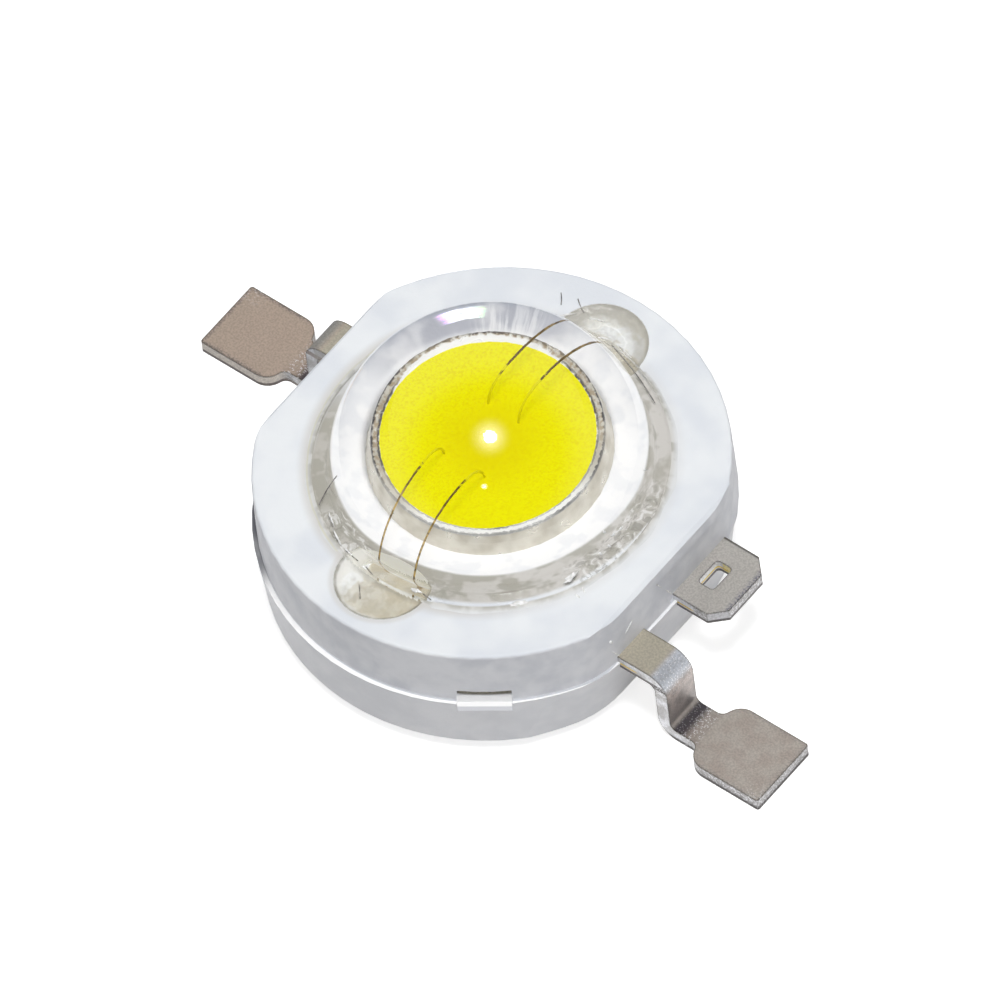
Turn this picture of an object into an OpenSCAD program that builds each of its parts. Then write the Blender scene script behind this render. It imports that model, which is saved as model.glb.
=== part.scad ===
// A high power light emitting diode: a moulded body round a heat slug and two stamped leads, under a dome.
// The origin is on the board under the middle of the body.
// The long leads run along X, and the bonding pockets lie on Y.

/* [Body] */
// Diameter of the moulding's lower half at the parting line
body_d = 7.86; // [7.8:0.02:9.6]
// Height of the moulding's top face above the board
body_top = 2.5; // [2.3:0.05:3.1]
// Gap between the moulding's underside and the board
body_lift = 0.19; // [0.05:0.01:0.3]
// Height of the parting line, where the leadframe has the middle of its strip
parting_z = 1.34; // [1.2:0.01:1.65]
// How much smaller in radius the upper half is at the parting line
ledge_w = 0.01; // [0.01:0.01:0.15]
// How far the lower half is out of line with the upper one, towards the front pocket
half_shift = 0.09; // [0.02:0.01:0.12]
// Draw of the upper wall, over its whole height
upper_draw = 0.02; // [0.01:0.01:0.1]
// Draw of the lower wall, over its whole height
lower_draw = 0.08; // [0:0.01:0.15]
// Rounding of the moulding's top and bottom rims
rim_r = 0.06; // [0.02:0.01:0.1]
// Width across the two flats that the leads come out of
flat_w = 7.1; // [6.9:0.05:7.5]
// How far the lower flats stand out past the upper ones
flat_ledge = 0.05; // [0.02:0.01:0.1]
// Draw of the lower flats, over their whole height
flat_draw = 0.2; // [0.02:0.01:0.3]
// Angle past a flat's corner at which the corner's blend meets the round wall
blend_turn = 10; // [6:1:14]
// Depth of the relief in each upper flat, behind the tab
relief_depth = 0.04; // [0.02:0.01:0.1]
// How far the relief's top lies below the moulding's top face
relief_drop = 0.3; // [0.1:0.01:0.5]
// How far the relief starts short of the tab, at the parting line
relief_start = 0.1; // [0:0.01:0.2]
// Lean of the relief's end, over its whole height
relief_lean = 0.3; // [0:0.05:0.6]

/* [Lens] */
// Diameter of the lens over its flange
lens_d = 5.86; // [5.5:0.02:6.1]
// Diameter of the dome, outside
dome_d = 5.34; // [5.2:0.02:5.46]
// Thickness of the dome
dome_wall = 0.3; // [0.2:0.01:0.36]
// How far the middle of the dome's sphere lies below the body's top face
dome_sink = 0.15; // [0.12:0.01:0.3]
// Thickness of the lens flange
flange_t = 0.16; // [0.1:0.01:0.3]
// Radius of the fillet between flange and dome
fillet_r = 0.06; // [0.02:0.01:0.08]
// Depth of the seat that takes the lens, below the body's top face
seat_depth = 0.12; // [0.06:0.01:0.12]
// Clearance between the flange and the wall of its seat
lens_fit = 0.03; // [0.01:0.01:0.06]

/* [Bonding pockets] */
// Diameter of each round pocket
pocket_d = 1.62; // [1.4:0.01:1.7]
// Distance of the second bonds from the inner edge of their pocket
second_bond_in = 0.26; // [0.24:0.01:0.28]
// Distance of the second bonds from the dome's inner wall
bond_wall_gap = 0.09; // [0.08:0.01:0.12]
// How far the silicone in a pocket lies below the body's top face
fill_drop = 0.03; // [0:0.01:0.08]

/* [Heat slug] */
// Diameter of the slug's foot
foot_d = 5.9; // [4.8:0.05:6.2]
// Thickness of the slug's foot
foot_t = 0.75; // [0.5:0.05:0.9]
// Bevel round the underside of the foot
foot_bevel = 0.08; // [0.02:0.01:0.15]
// Diameter of the slug's shank, which passes through the leadframe
shank_d = 3.9; // [3.4:0.05:4]
// Depth of the groove that locks the moulding round the shank
lock_depth = 0.2; // [0.05:0.01:0.3]
// Height of the locking groove
lock_h = 0.25; // [0.1:0.05:0.4]
// Height of the shoulder between shank and cup, above the board
shoulder_z = 1.75; // [1.6:0.05:2.1]
// Diameter of the cup, outside
cup_d = 2.94; // [2.4:0.02:3.2]
// Width of the cup's flat rim
cup_rim_w = 0.11; // [0.05:0.01:0.2]
// Diameter of the cup's floor
well_d = 1.7; // [1.66:0.02:1.9]
// Depth of the cup
cup_depth = 0.5; // [0.4:0.01:0.7]
// How far the cup's rim stands above the body's top face
cup_rise = 0.3; // [0.2:0.01:0.6]

/* [Leads] */
// Thickness of the strip that the leads are stamped from
strip_t = 0.25; // [0.18:0.01:0.32]
// Length over the tips of the two long leads
lead_span = 13.1; // [12.4:0.1:16]
// Distance of each long lead's centre line from the X axis
lead_y = 1.015; // [0.9:0.01:1.2]
// Width of the neck of a long lead
neck_w = 0.69; // [0.5:0.01:0.85]
// How far the outer face of the riser stands from the flat
riser_out = 0.97; // [0.8:0.01:1.2]
// Inside radius of both bends
bend_r = 0.13; // [0.08:0.01:0.2]
// Width of a solder pad
pad_w = 1.36; // [1.0:0.01:1.7]
// Length of a solder pad, from its shoulders to its tip
pad_l = 1.48; // [1.1:0.01:1.55]
// Radius of the pad's two shoulders
shoulder_r = 0.33; // [0.2:0.01:0.4]
// Radius in the corners between neck and pad
throat_r = 0.15; // [0.05:0.01:0.2]
// Radius of the corners at the tip
tip_r = 0.05; // [0.02:0.01:0.15]

/* [Polarity tab] */
// Width of the tab
tab_w = 1.38; // [1.0:0.01:1.5]
// Distance of the tab's centre line from the X axis
tab_y = 0.82; // [0.6:0.01:0.85]
// How far the tab stands out from the flat
tab_out = 0.92; // [0.7:0.01:1.3]
// Size of the cut corners
tab_corner = 0.26; // [0.1:0.01:0.35]
// Width of the slot through the tab
slot_w = 0.31; // [0.2:0.01:0.4]
// Length of the slot
slot_l = 0.51; // [0.4:0.01:0.7]
// Radius of the slot's corners
slot_r = 0.07; // [0.02:0.01:0.09]
// Distance of the slot's middle from the flat
slot_out = 0.3; // [0.26:0.01:0.4]

/* [Leadframe inside the moulding] */
// Gap between the slug's shank and the buried hoop
hoop_gap = 0.35; // [0.25:0.01:0.5]
// Width of the buried hoop
hoop_w = 0.85; // [0.6:0.01:0.95]
// Width of the bond land in the floor of a pocket
land_w = 1.3; // [1.1:0.01:1.5]
// How far the land reaches in past the second bonds
land_in = 0.08; // [0.06:0.01:0.12]
// How far the land reaches out past the hoop
land_out = 0.2; // [0.05:0.01:0.3]
// Direction in which the hoop ends, past the tab
hoop_end = 28; // [24:1:35]
// Width of the tie bar, whose cut end shows at the parting line
tie_w = 0.89; // [0.6:0.01:1.1]
// Direction of the tie bar, from the X axis
tie_angle = -54.8; // [-65:0.1:-48]
// How far the cut end of a tie bar stands out from the lower wall
tie_out = 0.02; // [0.02:0.01:0.2]
// Height of the notch that the mould leaves above a tie bar
notch_h = 0.12; // [0.05:0.01:0.2]
// Depth of that notch, measured from the upper wall
notch_depth = 0.14; // [0.05:0.01:0.2]

/* [Chip and wires] */
// Side of the square chip
chip_w = 1.1; // [0.8:0.01:1.12]
// Thickness of the chip
chip_t = 0.15; // [0.1:0.01:0.2]
// Thickness of the layer of die attach
attach_t = 0.03; // [0.02:0.01:0.06]
// How far the die attach shows round the chip
attach_margin = 0.03; // [0.01:0.01:0.05]
// Rise of the phosphor's crown above the cup's rim
crown_rise = 0.04; // [0.01:0.01:0.08]
// How far the phosphor's edge lies below the cup's rim
edge_drop = 0.01; // [0.005:0.005:0.03]
// Diameter of a bond wire
wire_d = 0.03; // [0.02:0.005:0.05]
// Distance of the first bonds from the chip's front and back edges
first_bond_in = 0.12; // [0.08:0.01:0.2]
// Distance of bond wire 1, front left, from the chip's left edge
wire_1_in = 0.19; // [0.15:0.01:0.3]
// Distance of bond wire 2, front right, from the chip's right edge
wire_2_in = 0.28; // [0.15:0.01:0.4]
// Distance of bond wire 3, back left, from the chip's left edge
wire_3_in = 0.2; // [0.15:0.01:0.3]
// Distance of bond wire 4, back right, from the chip's right edge
wire_4_in = 0.44; // [0.15:0.01:0.5]
// Height of a wire's crest above the cup's rim
crest_rise = 0.39; // [0.28:0.01:0.45]
// Radius of the turn from a wire's rise to its crest
rise_r = 0.4; // [0.2:0.01:0.45]
// Radius of the wide arc on which a wire falls
fall_r = 1.3; // [1:0.05:1.35]
// Diameter of the flattened bond at each end of a wire
bond_d = 0.1; // [0.08:0.01:0.14]
// Height of the flattened bond
bond_h = 0.03; // [0.02:0.005:0.05]

/* [Hidden] */
$fn = 96;
wire_facets = 24;
crown_facets = 720;
// Overlap of a cutting shape past the face that it cuts
past = 1;
// Distance outside the round wall at which a corner's blend ends, so that the two cross
blend_past = 0.01;
half_turn = [0, 180];
upper_foot_r = body_d / 2 - ledge_w;
upper_rim_r = upper_foot_r - upper_draw;
lower_rim_r = body_d / 2 - lower_draw;
upper_flat = flat_w / 2;
lower_flat = upper_flat + flat_ledge;
strip_top = parting_z + strip_t / 2;
strip_foot = parting_z - strip_t / 2;
bend_outer_r = bend_r + strip_t;
riser_x = upper_flat + riser_out;
tip_x = lead_span / 2;
// The curve between neck and pad: a hollow corner and a round shoulder that touch each other
shoulder_x = tip_x - pad_l + shoulder_r;
shoulder_y = pad_w / 2 - shoulder_r;
throat_y = neck_w / 2 + throat_r;
throat_x = shoulder_x - sqrt(pow(shoulder_r + throat_r, 2) - pow(throat_y - shoulder_y, 2));
hoop_in_r = shank_d / 2 + hoop_gap;
hoop_out_r = hoop_in_r + hoop_w;
hoop_mid_r = hoop_in_r + hoop_w / 2;
tie_end_r = body_d / 2 - half_shift * sin(tie_angle) + tie_out;
seat_z = body_top - seat_depth;
flange_z = seat_z + flange_t;
dome_z = body_top - dome_sink;
dome_in_d = dome_d - 2 * dome_wall;
second_bond_y = dome_in_d / 2 - bond_wall_gap;
pocket_y = second_bond_y - second_bond_in + pocket_d / 2;
fill_z = body_top - fill_drop;
mouth_d = cup_d - 2 * cup_rim_w;
rim_z = body_top + cup_rise;
well_z = rim_z - cup_depth;
chip_z = well_z + attach_t;
chip_top = chip_z + chip_t;
chip_edge = chip_w / 2;
first_bond_y = chip_edge - first_bond_in;
wire_places = [wire_1_in - chip_edge, chip_edge - wire_2_in, wire_3_in - chip_edge, chip_edge - wire_4_in];
// A wire rises straight from its first bond, turns to its crest and runs level to where it starts to fall
crest_z = rim_z + crest_rise;
rise_z = chip_top + bond_h / 2;
crest_y = first_bond_y + rise_r;
fall_y = second_bond_y - fall_r;
run_z = strip_top + bond_h / 2;
// The phosphor's surface is part of a large sphere through the crown and the edge
crown_h = crown_rise + edge_drop;
crown_r = (pow(mouth_d / 2, 2) + pow(crown_h, 2)) / (2 * crown_h);

// A rectangle with its four corners rounded, centred
module round_rect(length, width, r) {
    square([length - 2 * r, width], center = true);
    square([length, width - 2 * r], center = true);
    for (x = [-1, 1], y = [-1, 1])
        translate([x * (length / 2 - r), y * (width / 2 - r)]) circle(r);
}

// The part of the plane between two directions, out to a given reach
module wedge(from, to, reach) {
    middle = (from + to) / 2;
    far = reach / cos((to - from) / 4);
    polygon([[0, 0],
             [reach * cos(from), reach * sin(from)],
             [far * cos((from + middle) / 2), far * sin((from + middle) / 2)],
             [reach * cos(middle), reach * sin(middle)],
             [far * cos((middle + to) / 2), far * sin((middle + to) / 2)],
             [reach * cos(to), reach * sin(to)]]);
}

// Half of the moulding as it is turned about Z, before the flats: radius and height of its foot and its rim
module turned_half(foot_r, end_r, end_z) {
    inward = end_z > parting_z ? -rim_r : rim_r;
    rotate_extrude()
        union() {
            polygon([[0, parting_z],
                     [foot_r, parting_z],
                     [end_r, end_z + inward],
                     [end_r - rim_r, end_z],
                     [0, end_z]]);
            translate([end_r - rim_r, end_z + inward]) circle(rim_r);
        }
}

// What lies behind one flat, seen from above: the flat, an arc at each end and a line that leaves each arc
module behind_flat(flat, edge_r) {
    turn = acos(flat / edge_r) + blend_turn;
    blend_r = (flat - edge_r * cos(turn)) / (1 - cos(turn));
    start_y = (edge_r - blend_r) * sin(turn);
    end = edge_r * [cos(turn), sin(turn)];
    far = end + body_d * [-sin(turn), cos(turn)];
    translate([-body_d, -start_y]) square([body_d + flat, 2 * start_y]);
    for (side = [0, 1])
        mirror([0, side]) {
            translate([flat - blend_r, start_y]) circle(blend_r);
            polygon([[-body_d, 0],
                     [flat - blend_r, 0],
                     [flat - blend_r, start_y],
                     end,
                     far,
                     [-body_d, far[1]]]);
        }
}

// Upper half of the moulding, with a bevel along the top of each flat
module upper_half() {
    bevel_x = upper_flat - rim_r;
    intersection() {
        turned_half(upper_foot_r, upper_rim_r, body_top);
        intersection_for (turn = half_turn)
            rotate([0, 0, turn])
                linear_extrude(body_top + past) behind_flat(upper_flat, upper_foot_r + blend_past);
        rotate([90, 0, 0])
            linear_extrude(body_d + 2 * past, center = true)
                polygon([[-bevel_x, body_top],
                         [-bevel_x - body_top, 0],
                         [bevel_x + body_top, 0],
                         [bevel_x, body_top]]);
    }
}

// Lower half of the moulding, whose flats lean in towards the underside
module lower_half() {
    lean = atan(flat_draw / (parting_z - body_lift));
    translate([0, -half_shift, 0])
        intersection() {
            turned_half(body_d / 2, lower_rim_r, body_lift);
            intersection_for (turn = half_turn)
                rotate([0, 0, turn])
                    translate([lower_flat, 0, parting_z])
                        rotate([0, lean, 0])
                            translate([-lower_flat, 0, -body_d])
                                linear_extrude(body_d + past)
                                    behind_flat(lower_flat, body_d / 2 + blend_past);
        }
}

// Relief in the upper flat, from the tab's front edge round to the wall's end, with a leaning edge
module flat_relief() {
    start_y = tab_y - tab_w / 2 - relief_start;
    relief_z = body_top - relief_drop;
    translate([upper_flat - relief_depth, 0, 0])
        rotate([90, 0, 90])
            linear_extrude(past)
                polygon([[start_y, parting_z],
                         [body_d / 2, parting_z],
                         [body_d / 2, relief_z],
                         [start_y - relief_lean, relief_z]]);
}

// Notch above the cut end of a tie bar
module tie_notch() {
    rotate([0, 0, tie_angle])
        translate([upper_foot_r - notch_depth, -tie_w / 2, parting_z])
            cube([notch_depth + past, tie_w, strip_t / 2 + notch_h]);
}

module pocket(depth_z, top_z) {
    for (turn = half_turn)
        rotate([0, 0, turn])
            translate([0, -pocket_y, depth_z]) cylinder(h = top_z - depth_z, d = pocket_d);
}

module body() {
    color("whitesmoke")
        difference() {
            union() {
                upper_half();
                lower_half();
            }
            slug_form();
            for (turn = half_turn)
                rotate([0, 0, turn]) {
                    flat_relief();
                    tie_notch();
                }
            lead_form(true);
            rotate([0, 0, 180]) lead_form(false);
            translate([0, 0, seat_z]) cylinder(h = seat_depth + past, d = lens_d + 2 * lens_fit);
            pocket(strip_top, body_top + past);
        }
}

// The slug turned from bar: foot, locking groove, shank, shoulder and cup
module slug_form() {
    rotate_extrude()
        polygon([[0, 0],
                 [foot_d / 2 - foot_bevel, 0],
                 [foot_d / 2, foot_bevel],
                 [foot_d / 2, foot_t],
                 [shank_d / 2 - lock_depth, foot_t],
                 [shank_d / 2 - lock_depth, foot_t + lock_h],
                 [shank_d / 2, foot_t + lock_h],
                 [shank_d / 2, shoulder_z],
                 [cup_d / 2, shoulder_z],
                 [cup_d / 2, rim_z],
                 [0, rim_z]]);
}

// Half of the cup's section, carried on above the rim at the same slope
module cup_section() {
    slope = (mouth_d - well_d) / 2 / cup_depth;
    polygon([[0, well_z],
             [well_d / 2, well_z],
             [mouth_d / 2 + slope * crown_rise, rim_z + crown_rise],
             [0, rim_z + crown_rise]]);
}

module slug_with_cup() {
    difference() {
        slug_form();
        rotate_extrude() cup_section();
    }
}

module heat_slug() {
    color("silver") slug_with_cup();
}

// A right-angled bend in the strip, about an axis along Y; start is where it begins, from +X towards +Z
module strip_bend(start) {
    rotate([90, 0, 0])
        rotate([0, 0, start])
            rotate_extrude(angle = 90)
                translate([bend_r, -neck_w / 2]) square([strip_t, neck_w]);
}

// Outline of a solder pad seen from above, with the end of its neck
module pad_outline() {
    translate([riser_x + bend_r, -neck_w / 2]) square([throat_x - riser_x - bend_r, neck_w]);
    for (side = [0, 1])
        mirror([0, side]) {
            difference() {
                polygon([[throat_x, 0], [throat_x, throat_y], [shoulder_x, shoulder_y], [shoulder_x, 0]]);
                translate([throat_x, throat_y]) circle(throat_r);
            }
            translate([shoulder_x, shoulder_y]) circle(shoulder_r);
            translate([tip_x - tip_r, pad_w / 2 - tip_r]) circle(tip_r);
        }
    translate([shoulder_x, -pad_w / 2]) square([tip_x - tip_r - shoulder_x, pad_w]);
    translate([tip_x - 2 * tip_r, -pad_w / 2 + tip_r]) square([2 * tip_r, pad_w - 2 * tip_r]);
}

// Outline of the flat part of a leadframe half: hoop, bond land, neck and tie bar
// One of the halves has the slotted tab as well
module flat_outline(tabbed) {
    intersection() {
        difference() {
            circle(hoop_out_r);
            circle(hoop_in_r);
        }
        wedge(-90, hoop_end, 2 * hoop_out_r);
    }
    intersection() {
        difference() {
            circle(hoop_out_r + land_out);
            circle(second_bond_y - land_in);
        }
        translate([-land_w / 2, -2 * hoop_out_r]) square([land_w, 2 * hoop_out_r]);
    }
    translate([hoop_mid_r, -lead_y - neck_w / 2]) square([riser_x - bend_outer_r - hoop_mid_r, neck_w]);
    rotate(tie_angle)
        translate([hoop_mid_r, -tie_w / 2]) square([tie_end_r - hoop_mid_r, tie_w]);
    if (tabbed)
        tab_outline();
}

// Outline of the polarity tab, with its outer corners cut off and a slot through it
module tab_outline() {
    end_x = upper_flat + tab_out;
    difference() {
        translate([0, tab_y])
            polygon([[hoop_mid_r, -tab_w / 2],
                     [end_x - tab_corner, -tab_w / 2],
                     [end_x, -tab_w / 2 + tab_corner],
                     [end_x, tab_w / 2 - tab_corner],
                     [end_x - tab_corner, tab_w / 2],
                     [hoop_mid_r, tab_w / 2]]);
        translate([upper_flat + slot_out, tab_y]) round_rect(slot_w, slot_l, slot_r);
    }
}

// One half of the leadframe, whose long lead runs to +X, on the -Y side
module lead_form(tabbed) {
    translate([0, 0, strip_foot]) linear_extrude(strip_t) flat_outline(tabbed);
    translate([0, -lead_y, 0]) {
        translate([riser_x - bend_outer_r, 0, strip_top - bend_outer_r]) strip_bend(0);
        translate([riser_x - strip_t, -neck_w / 2, bend_outer_r])
            cube([strip_t, neck_w, strip_top - 2 * bend_outer_r]);
        translate([riser_x + bend_r, 0, bend_outer_r]) strip_bend(180);
        linear_extrude(strip_t) pad_outline();
    }
}

module lead_anode() {
    color("darkgray") lead_form(true);
}

module lead_cathode() {
    color("darkgray")
        rotate([0, 0, 180]) lead_form(false);
}

module die_attach() {
    side = chip_w + 2 * attach_margin;
    color("gray")
        translate([-side / 2, -side / 2, well_z]) cube([side, side, attach_t]);
}

module led_chip() {
    color("lightsteelblue")
        translate([-chip_w / 2, -chip_w / 2, chip_z]) cube([chip_w, chip_w, chip_t]);
}

// A wire in its own plane, drawn towards -Y: bond, rise, turn, level run, falling arc, straight run and bond
module wire_form() {
    translate([0, -first_bond_y, chip_top]) wire_run(bond_h, bond_d);
    translate([0, -first_bond_y, rise_z]) wire_run(crest_z - rise_r - rise_z, wire_d);
    translate([0, -crest_y, crest_z - rise_r]) wire_arc(rise_r, 0);
    translate([0, -crest_y, crest_z])
        rotate([90, 0, 0]) wire_run(fall_y - crest_y, wire_d);
    translate([0, -fall_y, crest_z - fall_r]) wire_arc(fall_r, 90);
    translate([0, -second_bond_y, run_z]) wire_run(crest_z - fall_r - run_z, wire_d);
    translate([0, -second_bond_y, strip_top]) wire_run(bond_h, bond_d);
}

module wire_run(length, diameter) {
    cylinder(h = length, d = diameter, $fn = wire_facets);
}

// A quarter turn of wire about an axis along X; start is where it begins, from +Y towards +Z
module wire_arc(radius, start) {
    rotate([90, 0, 90])
        rotate([0, 0, start])
            rotate_extrude(angle = 90)
                translate([radius, 0]) circle(d = wire_d, $fn = wire_facets);
}

// Wires 1 and 2 run to the front pocket, 3 and 4 to the back one
module wire_at(index) {
    place = wire_places[index - 1];
    if (index > 2)
        translate([place, 0, 0]) rotate([0, 0, 180]) wire_form();
    else
        translate([place, 0, 0]) wire_form();
}

module bond_wire(index) {
    color("gold") wire_at(index);
}

// The cup's contents up to the phosphor's crowned surface
module cup_fill() {
    rotate_extrude()
        intersection() {
            cup_section();
            translate([0, rim_z + crown_rise - crown_r]) circle(crown_r, $fn = crown_facets);
        }
}

module phosphor() {
    color("yellow")
        difference() {
            cup_fill();
            die_attach();
            led_chip();
            for (index = [1:4])
                wire_at(index);
        }
}

// Fills the corner between flange and dome, in section, under a round that touches both
module fillet_section() {
    fillet_z = flange_z + fillet_r;
    reach = dome_d / 2 + fillet_r;
    fillet_x = sqrt(pow(reach, 2) - pow(fillet_z - dome_z, 2));
    in_wall = (dome_d - dome_wall) / 2 / reach;
    difference() {
        polygon([[dome_in_d / 2, seat_z + flange_t / 2],
                 [fillet_x, seat_z + flange_t / 2],
                 [fillet_x, fillet_z],
                 [in_wall * fillet_x, dome_z + in_wall * (fillet_z - dome_z)]]);
        translate([fillet_x, fillet_z]) circle(fillet_r);
    }
}

// The moulded dome and its flange, turned in one piece
module lens_form() {
    rotate_extrude()
        difference() {
            union() {
                intersection() {
                    translate([0, dome_z]) circle(d = dome_d);
                    translate([0, seat_z]) square([dome_d, dome_d]);
                }
                translate([0, seat_z]) square([lens_d / 2, flange_t]);
                fillet_section();
            }
            translate([0, dome_z]) circle(d = dome_in_d);
        }
}

module lens() {
    color("azure", 0.4) lens_form();
}

module silicone_gel() {
    color("aliceblue", 0.5)
        difference() {
            union() {
                intersection() {
                    translate([0, 0, dome_z]) sphere(d = dome_in_d);
                    translate([0, 0, seat_z]) cylinder(h = dome_d, d = lens_d);
                }
                difference() {
                    pocket(strip_top, fill_z);
                    translate([0, 0, seat_z]) cylinder(h = seat_depth + past, d = lens_d);
                }
            }
            slug_with_cup();
            cup_fill();
            for (index = [1:4])
                wire_at(index);
        }
}

body();
heat_slug();
lead_anode();
lead_cathode();
die_attach();
led_chip();
phosphor();
bond_wire(1);  // bond_wire_1
bond_wire(2);  // bond_wire_2
bond_wire(3);  // bond_wire_3
bond_wire(4);  // bond_wire_4
silicone_gel();
lens();
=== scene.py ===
from math import asin, cos, degrees, hypot, pi, radians, sin, sqrt

import bmesh
import bpy
from mathutils import Matrix, Vector, noise
from mathutils.bvhtree import BVHTree


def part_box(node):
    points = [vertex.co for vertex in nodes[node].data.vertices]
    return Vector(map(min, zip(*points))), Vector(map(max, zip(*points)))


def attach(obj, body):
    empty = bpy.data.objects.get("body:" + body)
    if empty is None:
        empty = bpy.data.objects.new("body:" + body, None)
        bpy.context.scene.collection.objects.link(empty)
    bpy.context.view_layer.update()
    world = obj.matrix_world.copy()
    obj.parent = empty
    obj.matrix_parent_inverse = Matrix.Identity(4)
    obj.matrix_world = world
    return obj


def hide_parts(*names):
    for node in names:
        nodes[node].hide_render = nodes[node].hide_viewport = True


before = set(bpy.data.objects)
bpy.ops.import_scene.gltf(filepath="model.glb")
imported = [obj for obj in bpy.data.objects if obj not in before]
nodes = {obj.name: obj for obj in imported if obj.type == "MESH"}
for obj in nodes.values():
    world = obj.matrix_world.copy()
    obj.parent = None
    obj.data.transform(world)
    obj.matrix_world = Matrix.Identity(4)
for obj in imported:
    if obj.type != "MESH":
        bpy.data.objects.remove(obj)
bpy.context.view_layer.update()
mm = 0.001
print("frame loaded,", len(nodes), "pieces")


def link(name, data):
    piece = bpy.data.objects.new(name, data)
    bpy.context.scene.collection.objects.link(piece)
    return piece


# Camera: the photo's angle, with the aim point where it falls in a 1000 px frame
cameraSet = {
    "azimuth": 44.467,  # degrees, 0 looks along +Y
    "elevation": 54.042,
    "roll": -7.845,
    "aim": (0, 0, 1.8),  # mm
    "aimPixel": (495.0, 486.24),
    "distance": 484.74,  # mm
    "focalPixels": 30000,
    "sensor": 36,
}


def direction(azimuth, elevation):  # from the object, in degrees
    a, e = radians(azimuth), radians(elevation)
    return Vector((sin(a) * cos(e), -cos(a) * cos(e), sin(e)))


def cameraAxes(s):  # right, up and back, then the camera's place in mm
    roll = radians(s["roll"])
    back = direction(s["azimuth"], s["elevation"])
    level = direction(s["azimuth"] + 90, 0)
    rise = back.cross(level)
    right = level * cos(roll) + rise * sin(roll)
    up = rise * cos(roll) - level * sin(roll)
    across, down = [(pixel - 500) * s["distance"] / s["focalPixels"] for pixel in s["aimPixel"]]
    return right, up, back, Vector(s["aim"]) + back * s["distance"] - right * across + up * down


def buildCamera(s):
    right, up, back, place = cameraAxes(s)
    data = bpy.data.cameras.new("camera")
    data.sensor_width = s["sensor"]
    data.lens = s["sensor"] * s["focalPixels"] / 1000
    data.clip_start, data.clip_end = 0.01, 10
    camera = link("camera", data)
    camera.matrix_world = Matrix.Translation(place * mm) @ Matrix((right, up, back)).transposed().to_4x4()
    bpy.context.scene.camera = camera


def pixelRay(u, v, s=cameraSet):  # the camera's place and the way to a photo pixel, in mm
    right, up, back, eye = cameraAxes(s)
    perPixel = s["distance"] / s["focalPixels"]
    return eye, right * ((u - 500) * perPixel) - up * ((v - 500) * perPixel) - back * s["distance"]


buildCamera(cameraSet)
print("camera placed")


# Node helpers. Out is a node's output: + - * / and abs() on it each add a Math node
class Out:
    def __init__(self, socket):
        self.socket, self.tree = socket, socket.id_data

    def __add__(self, other):
        return maths("ADD", self, other)

    def __sub__(self, other):
        return maths("SUBTRACT", self, other)

    def __rsub__(self, other):
        return maths("SUBTRACT", other, self)

    def __mul__(self, other):
        return maths("MULTIPLY", self, other)

    def __truediv__(self, other):
        return maths("DIVIDE", self, other)

    def __rtruediv__(self, other):
        return maths("DIVIDE", other, self)

    def __abs__(self):
        return maths("ABSOLUTE", self)


class Made:  # a node, whose outputs are read by name or number
    def __init__(self, node):
        self.node = node

    def __getitem__(self, name):
        return Out(self.node.outputs[name])


def put(socket, value):  # a plain value sets a socket, an output is linked to it
    if isinstance(value, Out):
        value.tree.links.new(value.socket, socket)
    else:
        socket.default_value = value


def add(tree, kind, inputs=None, **settings):
    node = tree.nodes.new("ShaderNode" + kind)
    for name, value in settings.items():
        setattr(node, name, value)
    for name, value in (inputs or {}).items():
        put(node.inputs[name], value)
    return Made(node)


def treeOf(*values):
    return next(value.tree for value in values if isinstance(value, Out))


def maths(operation, first, second=0.0, clamp=False):
    return add(treeOf(first, second), "Math", {0: first, 1: second}, operation=operation, use_clamp=clamp)[0]


def most(first, *others):
    for other in others:
        first = maths("MAXIMUM", first, other)
    return first


def mix(factor, first, second):  # colours
    return add(treeOf(factor, first, second), "Mix", {0: factor, 6: first, 7: second}, data_type="RGBA")[2]


def layers(colour, coats):  # each coat: a mask, and the colour it lays over what is below
    for mask, coat in coats:
        colour = mix(mask, colour, coat)
    return colour


def ramp(value, low, high, bottom=0.0, top=1.0):  # smooth step from low to high
    inputs = {"Value": value, "From Min": low, "From Max": high, "To Min": bottom, "To Max": top}
    return add(value.tree, "MapRange", inputs, interpolation_type="SMOOTHSTEP")[0]


def between(value, low, high, soft=0.03):  # 1 from low to high, soft at both ends
    return ramp(value, low - soft, low + soft) * ramp(value, high - soft, high + soft, 1, 0)


def bump(height, distance):  # distance in mm
    return add(height.tree, "Bump", {"Height": height, "Distance": distance * mm})[0]


def vectorMath(operation, inputs):
    return add(inputs[0].tree, "VectorMath", inputs, operation=operation)


def unit(vector):
    return vectorMath("NORMALIZE", {0: vector})[0]


def dot(first, second):
    return vectorMath("DOT_PRODUCT", {0: first, 1: second})["Value"]


def length(vector):
    return vectorMath("LENGTH", {0: vector})["Value"]


def apart(vector):
    parts = add(vector.tree, "SeparateXYZ", {0: vector})
    return parts["X"], parts["Y"], parts["Z"]


def together(x, y):
    return add(x.tree, "CombineXYZ", {"X": x, "Y": y})[0]


def here(tree):  # object coordinates in metres
    return add(tree, "TexCoord")["Object"]


def millimetres(tree):
    return vectorMath("SCALE", {0: here(tree), "Scale": 1 / mm})[0]


def facing(tree):
    return apart(add(tree, "NewGeometry")["Normal"])


def noiseAt(vector, scale, detail, **inputs):
    return add(vector.tree, "TexNoise", {"Vector": vector, "Scale": scale, "Detail": detail, **inputs})["Fac"]


def newMaterial(name):
    material = bpy.data.materials.new(name)
    material.use_nodes = True
    material.node_tree.nodes.clear()
    return material, material.node_tree


def finish(material, shader):  # shader: an output, or the inputs of a Principled shader
    tree = material.node_tree
    if isinstance(shader, dict):
        shader = add(tree, "BsdfPrincipled", shader)[0]
    add(tree, "OutputMaterial", {"Surface": shader})
    return material


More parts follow.
